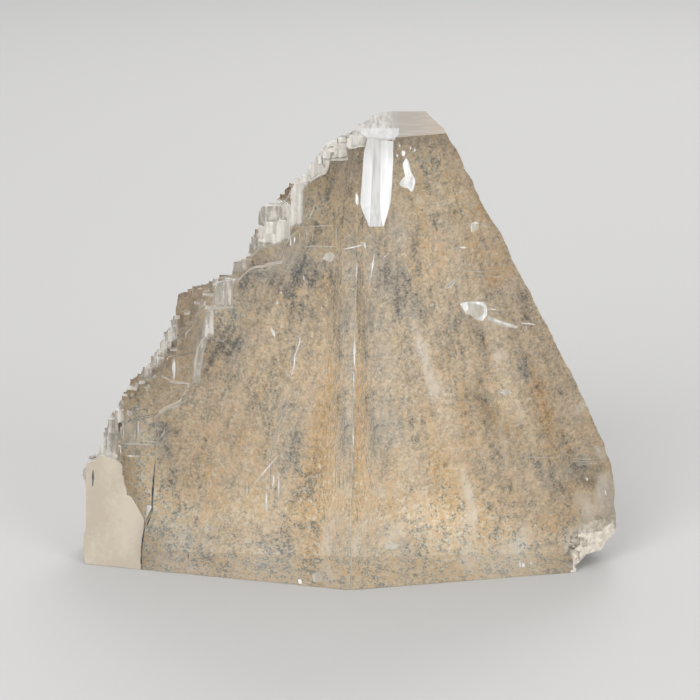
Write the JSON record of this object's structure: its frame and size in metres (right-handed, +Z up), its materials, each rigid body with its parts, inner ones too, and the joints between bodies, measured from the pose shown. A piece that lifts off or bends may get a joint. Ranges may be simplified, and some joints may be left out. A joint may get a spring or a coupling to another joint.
{
  "type": "optical calcite crystal",
  "caption": "Upright cleaved block of clear calcite, a blunt-topped wedge on a flat base, with a glassy front, cleavage steps down one side and a rough natural back.",
  "frame": {"origin": "middle of the bounding box on the flat base", "axes": "+Z up, +X to the right across the broad front, and the front faces -Y"},
  "size_m": [0.1264, 0.0432, 0.1073],
  "materials": {
    "spar": "clear, glassy cleavage faces over a tan, clay-filmed natural back, with paler fractured steps"
  },
  "bodies": {
    "root": {"calcite": "spar"}
  },
  "joints": []
}
